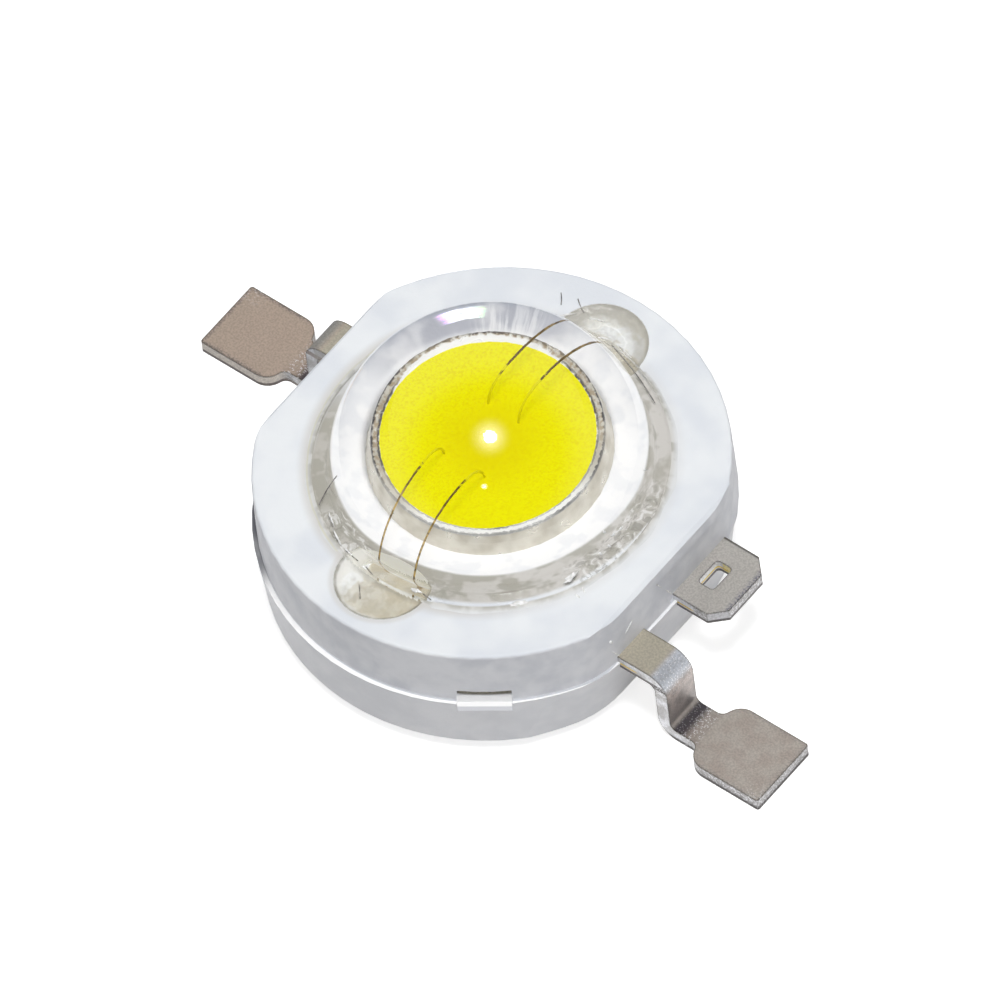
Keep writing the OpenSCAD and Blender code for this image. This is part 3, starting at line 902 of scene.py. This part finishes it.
def lensMesh(s):
    low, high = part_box("lens")
    flangeR, seatZ, apexZ = high.x / mm, low.z / mm + s["raise"], high.z / mm
    fillet, edge = s["fillet"], s["edgeRound"]
    domeR = s["domeDiameter"] / 2
    domeZ = apexZ - domeR
    innerR = domeR - s["wall"]
    flangeZ = low.z / mm + s["flange"]
    # the fillet touches the flange's top face and the dome from outside
    filletZ = flangeZ + fillet
    filletR = sqrt((domeR + fillet) ** 2 - (filletZ - domeZ) ** 2)
    touch = degrees(asin((filletZ - domeZ) / (domeR + fillet)))
    profile = arc(innerR, domeZ, 90, degrees(asin((seatZ - domeZ) / innerR)), s["domeSteps"])
    profile += [(flangeR - edge, seatZ), (flangeR, seatZ + edge)]
    profile += [(flangeR, flangeZ - edge), (flangeR - edge, flangeZ)]
    for i in range(s["filletSteps"] + 1):
        angle = radians(270 - (90 - touch) * i / s["filletSteps"])
        profile.append((filletR + fillet * cos(angle), filletZ + fillet * sin(angle)))
    profile += arc(domeR, domeZ, touch, 90, s["domeSteps"])[1:]
    touching = s["domeSteps"] + 3  # the faces that lie on silicone or on the moulding
    return revolve("lens_clear", profile, s["turns"], [1] * touching + [0] * (len(profile) - 1 - touching))


lensPiece = newPiece("lens_clear", lensMesh(lensShape), "clear_lens", lensOuterLook, lensInnerLook)
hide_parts("lens")
print("lens made")


# Silicone: what fills the dome, and the two pockets with their sunk, wrinkled tops
siliconeShape = {
    "lensGap": 0.003,  # mm
    "sink": 0.006,  # how far it is let into what holds it, so that no two faces coincide
    "cupR": 1.47,
    "pocketY": 2.83,
    "pocketR": 0.81,
    "pocketFloor": 1.465,
    "fillZ": 2.47,
    "meniscus": 0.028,  # how far it creeps up the pocket's wall
    "lensCreep": 0.052,  # and up the lens's edge
    "creepReach": 0.09,
    "wrinkle": 0.03,
    "wrinkleSize": 0.16,
    "calmReach": 0.08,  # how near its edges the wrinkles fade
    "turns": 192,
    "steps": 60,
    "pocketTurns": 160,
    "pocketRings": 56,
}


def siliconeMesh(s):
    lensLow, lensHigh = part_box("lens")
    slugHigh, phosphorHigh = [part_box(name)[1] for name in ("heat_slug", "phosphor")]
    domeZ = lensHigh.z / mm - lensShape["domeDiameter"] / 2
    innerR = lensShape["domeDiameter"] / 2 - lensShape["wall"] - s["lensGap"]
    rimZ, crownZ, bottomZ = [edge.z / mm - s["sink"] for edge in (slugHigh, phosphorHigh, lensLow)]
    cupR = s["cupR"] - s["sink"]
    mouthR = phosphorHigh.x / mm
    crown = [(0, crownZ), (mouthR * 0.5, crownZ - 0.012), (mouthR, rimZ - 0.01)]
    start = degrees(asin((bottomZ - domeZ) / innerR))
    profile = crown + [(cupR, rimZ), (cupR, bottomZ)] + arc(innerR, domeZ, start, 90, s["steps"])
    return revolve("silicone_fill", profile, s["turns"], [0] * (len(crown) + 2) + [1] * s["steps"])


def pocketTop(x, y, side, s, seatZ, flangeR, innerR):  # height and finish of a pocket's top
    radius = hypot(x, y)
    if radius < innerR - 0.01:
        return seatZ + 0.1, 1
    if radius < flangeR:
        return seatZ - 0.002, 2
    fromWall = s["pocketR"] - hypot(x, y - side * s["pocketY"])
    fromLens = radius - flangeR
    wallCreep, lensCreep = [max(0, 1 - gap / s["creepReach"]) ** 2 for gap in (fromWall, fromLens)]
    spot = Vector((x, y, side * 3.7)) / s["wrinkleSize"]
    folds = noise.turbulence(spot, 3, False, noise_basis="PERLIN_ORIGINAL")
    calm = min(1, max(0, fromWall / s["calmReach"]), max(0, fromLens / s["calmReach"]))
    creep = max(s["meniscus"] * wallCreep, s["lensCreep"] * lensCreep)
    return s["fillZ"] + creep + s["wrinkle"] * calm * (folds - 0.75), 0


def pocketMesh(side, s):
    lensLow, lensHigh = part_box("lens")
    seatZ, flangeR = lensLow.z / mm, lensHigh.x / mm + 0.004
    innerR = lensShape["domeDiameter"] / 2 - lensShape["wall"]
    mesh = bmesh.new()
    reach = s["pocketR"] + s["sink"]
    turns, ringCount = s["pocketTurns"], s["pocketRings"]
    rings, slots = [], []
    for k in range(ringCount + 2):  # the last one is the foot
        rings.append([])
        slots.append([])
        share = min(1, k / ringCount)
        for i in range(turns if k else 1):
            c, n = onCircle(i + 0.5, turns)  # half a step on, so that no point lies on an edge of the fill
            x, y = reach * share * c, side * s["pocketY"] + reach * share * n
            if k > ringCount:
                z, slot = s["pocketFloor"] - s["sink"], 0
            else:
                z, slot = pocketTop(x, y, side, s, seatZ, flangeR, innerR)
            rings[k].append(mesh.verts.new(Vector((x, y, z)) * mm))
            slots[k].append(slot)
    skin(mesh, rings, lambda k, i: min(slots[k][i % len(slots[k])], slots[k + 1][i]))
    mesh.faces.new(rings[-1])
    return meshData("pocket", mesh)


def joinMeshes(name, first, others):  # one closed mesh of all of them
    holder = link("holder", first)
    spare = [holder]
    for mesh in others:
        other = link("other", mesh)
        cut = holder.modifiers.new("join", "BOOLEAN")
        cut.operation = "UNION"
        cut.solver = "EXACT"
        cut.object = other
        spare.append(other)
    joined = bpy.data.meshes.new_from_object(holder.evaluated_get(bpy.context.evaluated_depsgraph_get()))
    for piece in spare:
        bpy.data.objects.remove(piece)
    joined.set_sharp_from_angle(angle=radians(40))
    joined.name = name
    return joined


def siliconeWithPockets(s):
    meshes = [siliconeMesh(s), pocketMesh(-1, s), pocketMesh(1, s)]
    for mesh in meshes:
        for look in (siliconeLook, innerSiliconeLook, underLensLook):
            mesh.materials.append(look)
    return joinMeshes("silicone_fill", meshes[0], meshes[1:])


siliconePiece = newPiece("silicone_fill", siliconeWithPockets(siliconeShape), "clear_silicone")
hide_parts("silicone_gel")
print("silicone made,", len(siliconePiece.data.polygons), "faces")


# Bead: a thin line of adhesive between the lens's foot and the moulding, but not over the pockets
beadShape = {
    "innerR": 2.915,  # mm
    "outerR": 3.02,
    "topZ": 2.538,
    "edgeZ": 2.497,
    "bottomZ": 2.47,
    "waver": 0.035,
    "waves": 5,
    "lip": 0.03,  # its flat top, and how high it stands at its ends
    "endSteps": 6,
    "pocketHalf": 15.5,  # degrees left free on either side of a pocket's middle
    "steps": 150,
    "tones": (rgba(186, 184, 177), rgba(214, 213, 209)),
    "outerTone": rgba(228, 230, 232),
    "yellowish": rgba(214, 210, 182),
}


def beadMesh(s):
    mesh = bmesh.new()
    innerR, bottomZ = s["innerR"], s["bottomZ"]
    for start in (-90 + s["pocketHalf"], 90 + s["pocketHalf"]):
        sections = []
        for i in range(s["steps"] + 1):
            angle = radians(start + (180 - 2 * s["pocketHalf"]) * i / s["steps"])
            ahead = Vector((cos(angle), sin(angle), 0))
            outer = s["outerR"] + s["waver"] * noise.noise(ahead * s["waves"]) * 2
            ends = min(1, i / s["endSteps"], (s["steps"] - i) / s["endSteps"])
            top = bottomZ + s["lip"] + (s["topZ"] - bottomZ - s["lip"]) * ends
            profile = [(innerR, bottomZ), (innerR, top), (innerR + s["lip"], top - 0.004),
                       ((innerR + outer) / 2, top - 0.018), (outer, s["edgeZ"]), (outer, bottomZ)]
            sections.append([mesh.verts.new((ahead * r + Vector((0, 0, z))) * mm) for r, z in profile])
        skin(mesh, sections)
        mesh.faces.new(sections[0])
        mesh.faces.new(sections[-1][::-1])
    return meshData("adhesive_bead", mesh, 50)


def paleAdhesive(s):
    material, tree = newMaterial("paleAdhesive")
    place = millimetres(tree)
    x, y, z = apart(place)
    radius = length(together(x, y))
    height, tone = grainAt(place, 0.03, 0.25)
    colour = mix(ramp(tone, 0.4, 0.6), *s["tones"])
    colour = mix(ramp(radius, 2.92, 3.02, 0, 0.8), colour, s["outerTone"])
    yellowLine = ramp(x, 0.5, -1.5) * between(radius, 2.975, 3.01, 0.008) * 0.5
    return finish(material, {
        "Base Color": mix(yellowLine, colour, s["yellowish"]),
        "Roughness": ramp(height, 0.3, 0.7, 0.42, 0.6),
        "Specular IOR Level": 0.25,
        "Normal": bump(height, 0.003),
    })


newPiece("adhesive_bead", beadMesh(beadShape), "clear_silicone", paleAdhesive(beadShape))
print("bead made")


# Flecks: small white lumps laid where glints show, as painted highlights. Each runs from one photo
# pixel to another, with its width and height in mm
fleckShape = {
    "longest": 0.62,
    "lumpSize": 0.05,
    "lumpDepth": 0.4,
    "waver": 0.5,
    "sunk": 0.15,  # the share of its height that lies under the surface
    "turns": 28,
    "rings": 8,
    "tones": (rgba(254, 254, 254), rgba(224, 224, 222)),
    "places": [
        (564, 584, 577, 571, 0.11, 0.035), (507, 607, 528, 601, 0.10, 0.035),
        (580, 583, 585, 593, 0.05, 0.02), (588, 578, 592, 582, 0.05, 0.02),
        (575, 594, 580, 598, 0.04, 0.02), (411, 589, 422, 592.5, 0.08, 0.03),
        (328, 511, 334, 526, 0.03, 0.02), (333, 529, 341, 545, 0.035, 0.02),
        (345, 548, 352, 556, 0.03, 0.02), (559, 316, 577, 313, 0.03, 0.02),
        (597, 337, 614, 340, 0.045, 0.02), (620, 347, 634, 361, 0.03, 0.02),
        (588, 318, 606, 322, 0.03, 0.02), (603, 531, 606, 533, 0.05, 0.02),
        (611, 536, 615, 534, 0.05, 0.02), (619, 530, 622, 527, 0.05, 0.02),
        (607, 545, 611, 547, 0.04, 0.02), (598, 552, 603, 555, 0.05, 0.02),
        (643, 470, 647, 470, 0.04, 0.02), (609.5, 641, 612.5, 643.5, 0.05, 0.03),
        (613, 652, 623, 658, 0.022, 0.015), (653, 582.5, 663, 588.5, 0.022, 0.015),
        (625, 634, 633, 619, 0.02, 0.012), (666, 590, 672, 594, 0.03, 0.015),
    ],
}


def meshTree(data):
    return BVHTree.FromPolygons([v.co for v in data.vertices], [p.vertices for p in data.polygons])


carriers = [meshTree(data) for data in (nodes["body"].data, lensPiece.data, siliconePiece.data)]


def onSurface(u, v):  # where a photo pixel falls on the part, and which way the surface faces there
    eye, way = pixelRay(u, v)
    hits = [tree.ray_cast(eye * mm, way.normalized()) for tree in carriers]
    point, normal, index, distance = min((hit for hit in hits if hit[0]), key=lambda hit: hit[3])
    return point / mm, normal


def onPlane(u, v, centre, normal, limit):  # a photo pixel on the plane there, no further off than the limit
    eye, way = pixelRay(u, v)
    off = eye + way * ((centre - eye).dot(normal) / way.dot(normal)) - centre
    return centre + off * min(1, limit / off.length)


def lump(mesh, first, second, width, height, normal, s):
    centre = (first + second) / 2
    along = second - first
    along -= normal * along.dot(normal)
    half = along.length / 2
    along.normalize()
    across = normal.cross(along)

    def pointAt(k, c, n):
        share = k / s["rings"]
        waver = 1 + s["waver"] * noise.noise(centre * 3 + Vector((c, n, 0)) * 2.4)
        place = centre + along * (c * share * half * waver)
        place += across * (n * share * width / 2 * waver)
        rough = noise.noise(place / s["lumpSize"]) * s["lumpDepth"]
        return place + normal * (height * (sqrt(max(0, 1 - share ** 2)) * (1 + rough) - s["sunk"]))

    rings = spread(mesh, s["rings"] + 1, s["turns"], pointAt)
    skin(mesh, rings)
    mesh.faces.new(rings[-1][::-1])


def fleckMesh(s):
    mesh = bmesh.new()
    for u1, v1, u2, v2, width, height in s["places"]:
        centre, normal = onSurface((u1 + u2) / 2, (v1 + v2) / 2)
        ends = [onPlane(u, v, centre, normal, s["longest"] / 2) for u, v in ((u1, v1), (u2, v2))]
        lump(mesh, *ends, width, height, normal, s)
    return meshData("glint_flecks", mesh)


def twoTones(name, s, patchSize, low, high, depth, roughness=None):  # a constant roughness, or a varied one
    material, tree = newMaterial(name)
    height, tone = grainAt(millimetres(tree), 0.02, patchSize)
    return finish(material, {
        "Base Color": mix(ramp(tone, low, high), *s["tones"]),
        "Roughness": roughness or ramp(height, 0.3, 0.7, 0.15, 0.35),
        "Normal": bump(height, depth),
    })


glintFlecks = twoTones("glintFlecks", fleckShape, 0.06, 0.4, 0.6, 0.002)
newPiece("glint_flecks", fleckMesh(fleckShape), "clear_silicone", glintFlecks)
print("flecks made")


# Hairs and dark lines: short dark strands on the lens's foot and in a pocket, along photo pixels;
# some are hairs, and some stand for the dark line of the lens's edge seen through a pocket, painted shade
strandShape = {
    "thick": 0.018,  # mm
    "lift": 0.006,
    "roughness": 0.5,
    "tones": (rgba(92, 90, 92), rgba(150, 146, 142)),
    "paths": [
        [(337, 476), (334, 480), (329, 487), (324, 495), (319, 505)],
        [(359, 585), (360, 591), (360, 599)],
        [(612, 346), (630, 366), (644, 385), (655, 403)],
        [(423, 594), (427, 597), (431, 600)],
        [(352, 556), (355, 559), (358, 561)],
        [(366, 567), (369, 571), (373, 575)],
        [(578, 299), (580, 307), (584, 313)],
        [(561, 293), (562, 299), (561, 305)],
    ],
}


def strandMesh(s):
    curve = bpy.data.curves.new("hairs_and_edge_lines", "CURVE")
    curve.dimensions = "3D"
    curve.bevel_depth = s["thick"] / 2 * mm
    curve.bevel_resolution = 3
    curve.use_fill_caps = True
    for path in s["paths"]:
        strand = curve.splines.new("NURBS")
        strand.points.add(len(path) - 1)
        strand.use_endpoint_u = True
        strand.order_u = 3
        for point, (u, v) in zip(strand.points, path):
            spot, normal = onSurface(u, v)
            point.co = [*((spot + normal * s["lift"]) * mm), 1]
    holder = link("hairs_and_edge_lines", curve)
    mesh = bpy.data.meshes.new_from_object(holder.evaluated_get(bpy.context.evaluated_depsgraph_get()))
    bpy.data.objects.remove(holder)
    mesh.name = "hairs_and_edge_lines"
    return mesh


hairsAndEdgeShade = twoTones("hairsAndEdgeShade", strandShape, 0.08, 0.35, 0.65, 0.001, strandShape["roughness"])
newPiece("hairs_and_edge_lines", strandMesh(strandShape), "clear_silicone", hairsAndEdgeShade)
print("hair made")


# Floor and light
stageSet = {
    "floorSize": 400,  # mm
    "gap": 0.01,  # under the part
    "closeBy": 0.15,
    "floorLit": rgba(206, 206, 206),
    "floorGlow": 0.73,
    "skyLight": 0.32,
}


def seenFactor(tree):  # 1 for the camera and for what gloss and glass show
    path = add(tree, "LightPath")
    seen = path["Is Camera Ray"] + path["Is Glossy Ray"]
    return maths("ADD", seen, path["Is Transmission Ray"], clamp=True)


def glow(tree, strength, colour=(1, 1, 1, 1)):
    return add(tree, "Emission", {"Color": colour, "Strength": strength})[0]


def paleFloor(s):
    material, tree = newMaterial("paleFloor")
    lit = add(tree, "BsdfDiffuse", {"Color": s["floorLit"]})[0]
    both = addShaders(lit, glow(tree, seenFactor(tree) * s["floorGlow"]))
    # from below it isn't there, and it lets light reach what stands on it
    below = add(tree, "NewGeometry")["Backfacing"]
    close = maths("LESS_THAN", add(tree, "LightPath")["Ray Length"], s["closeBy"] * mm)
    return finish(material, mixShaders(most(below, close), both, seeThrough(tree)))


def buildStage(s):
    half = s["floorSize"] / 2 * mm
    square = ((-half, -half), (half, -half), (half, half), (-half, half))
    corners = [(x, y, -s["gap"] * mm) for x, y in square]
    data = bpy.data.meshes.new("floor")
    data.from_pydata(corners, [], [(0, 1, 2, 3)])
    data.materials.append(paleFloor(s))
    floor = link("floor", data)

    world = bpy.data.worlds.new("studio")
    bpy.context.scene.world = world
    world.use_nodes = True
    tree = world.node_tree
    tree.nodes.clear()
    sky = add(tree, "Background", {"Strength": most(seenFactor(tree), s["skyLight"])})
    add(tree, "OutputWorld", {"Surface": sky[0]})


def onlyGloss(name, mesh, material):  # a stage piece that nothing but gloss shows
    data = meshData(name, mesh)
    data.materials.append(material)
    piece = link(name, data)
    for ray in ("camera", "diffuse", "transmission", "shadow"):
        setattr(piece, "visible_" + ray, False)
    return piece


# Dark card: a curved black cloth over the object, soft at its edge
cardSet = {
    "azimuth": 44.5,
    "elevation": 62,
    "distance": 400,  # mm
    "darkTo": 46,  # degrees from its middle
    "goneAt": 74,
    "darkness": 0.97,
    "rings": 24,
    "turns": 72,
}


def blackCloth(s, axis):
    material, tree = newMaterial("blackCloth")
    angle = maths("ARCCOSINE", dot(unit(here(tree)), axis))
    cover = ramp(angle, radians(s["goneAt"]), radians(s["darkTo"]), 0, s["darkness"])
    dark = add(tree, "BsdfDiffuse", {"Color": rgba(0, 0, 0)})[0]
    return finish(material, mixShaders(cover, seeThrough(tree), dark))


def buildCard(s):
    axis = direction(s["azimuth"], s["elevation"])
    turn = axis.to_track_quat("Z", "Y").to_matrix()

    def pointAt(k, c, n):
        polar = radians((s["goneAt"] + 2) * k / s["rings"])
        return turn @ Vector((sin(polar) * c, sin(polar) * n, cos(polar))) * s["distance"]

    mesh = bmesh.new()
    skin(mesh, spread(mesh, s["rings"] + 1, s["turns"], pointAt))
    card = onlyGloss("darkCard", mesh, blackCloth(s, axis))


# Back sheet: a grey floor and wall behind the part, with the window's light on it
sheetSet = {
    "azimuth": -135.5,
    "halfAngle": 85,
    "softAngle": 25,
    "inner": 5.0,  # mm
    "outer": 120,
    "wall": 50,
    "height": 0.01,
    "columns": 48,
    "rows": 24,
    "floorShare": 0.75,  # of the rows
    "grey": (0.26, 0.29, 0.36, 1),
    "patchAngle": -133,
    "patchHalf": 6,
    "patchFrom": 11,
    "patchTo": 100,
    "patchStrength": 12,
    "patchGrain": 0.45,
}


def greySheet(s):
    material, tree = newMaterial("greySheet")
    place = millimetres(tree)
    flat = vectorMath("MULTIPLY", {0: place, 1: (1, 1, 0)})[0]
    along = unit(flat)
    angle = maths("ARCCOSINE", dot(along, direction(s["azimuth"], 0)))
    cover = ramp(angle, radians(s["halfAngle"]), radians(s["halfAngle"] - s["softAngle"]))
    aside = dot(along, direction(s["patchAngle"] + 90, 0)) / sin(radians(s["patchHalf"]))
    broken = noiseAt(place, s["patchGrain"], 2)
    patch = between(aside, -1.0, 1.0, 0.3) * between(length(flat), s["patchFrom"], s["patchTo"], 2.5)
    patch = patch * ramp(broken, 0.3, 0.62, 0.25, 1)
    fringe = add(tree, "CombineColor", {0: aside * 0.26 + broken, 1: 0.75, 2: 1.0}, mode="HSV")[0]
    light = mix(ramp(abs(aside), 0.3, 1.0), (1, 1, 1, 1), fringe)
    shine = glow(tree, patch * (s["patchStrength"] - 1) + 1.0, mix(patch, s["grey"], light))
    return finish(material, mixShaders(cover, seeThrough(tree), shine))


def buildSheet(s):
    mesh = bmesh.new()
    grid = []
    for i in range(s["columns"] + 1):
        ahead = direction(s["azimuth"] - s["halfAngle"] + 2 * s["halfAngle"] * i / s["columns"], 0)
        column = []
        for k in range(s["rows"] + 1):
            share = k / s["rows"] / s["floorShare"]
            out = s["inner"] + (s["outer"] - s["inner"]) * min(1, share) ** 2
            high = s["height"] + s["wall"] * max(0, share - 1) / (1 / s["floorShare"] - 1)
            column.append(mesh.verts.new((ahead * out + Vector((0, 0, high))) * mm))
        grid.append(column)
    skin(mesh, grid, closed=False)
    sheet = onlyGloss("backSheet", mesh, greySheet(s))


# Glints: bright discs, fading outwards
glints = {
    "lampCore": {
        "azimuth": 49, "elevation": 74.5, "distance": 305, "size": 48, "strength": 60, "fade": 0.3,
    },
    "lampHalo": {
        "azimuth": 49, "elevation": 74.5, "distance": 310, "size": 180, "strength": 16, "fade": 2.2,
    },
    "smallGlint": {
        "azimuth": 34.5, "elevation": 40.8, "distance": 310, "size": 30, "strength": 40, "fade": 2,
    },
}


discTurns = 48


def stand(s):  # where a lamp or disc stands, and the turn that faces the object
    towards = direction(s["azimuth"], s["elevation"])
    return (Vector(cameraSet["aim"]) + towards * s["distance"]) * mm, towards.to_track_quat("Z", "Y")


def buildGlint(name, s):
    half = s["size"] / 2 * mm
    mesh = bmesh.new()
    around = [onCircle(i, discTurns) for i in range(discTurns)]
    mesh.faces.new([mesh.verts.new((c * half, n * half, 0)) for c, n in around])
    material, tree = newMaterial(name)
    fade = maths("POWER", maths("SUBTRACT", 1.0, length(here(tree)) / half, clamp=True), s["fade"])
    finish(material, addShaders(glow(tree, fade * s["strength"]), seeThrough(tree)))
    disc = onlyGloss(name, mesh, material)
    place, turn = stand(s)
    disc.matrix_world = Matrix.Translation(place) @ turn.to_matrix().to_4x4()


# Lamps
lamps = {
    "keyLamp": {"azimuth": 60, "elevation": 82, "distance": 300, "size": 90, "power": 0.64},
    "leftFill": {"azimuth": -75, "elevation": 14, "distance": 300, "size": 160, "power": 0.07},
    "rightFill": {"azimuth": 75, "elevation": 8, "distance": 300, "size": 160, "power": 0.12},
}


def buildLamp(name, s):
    data = bpy.data.lights.new(name, "AREA")
    data.shape = "DISK"
    data.size = s["size"] * mm
    data.energy = s["power"]
    lamp = link(name, data)
    lamp.visible_glossy = False
    lamp.visible_transmission = False
    lamp.rotation_mode = "QUATERNION"
    lamp.location, lamp.rotation_quaternion = stand(s)


buildStage(stageSet)
buildCard(cardSet)
for name, settings in glints.items():
    buildGlint(name, settings)
buildSheet(sheetSet)
for name, settings in lamps.items():
    buildLamp(name, settings)
bpy.context.scene.view_settings.view_transform = "Standard"
print("stage and light set")
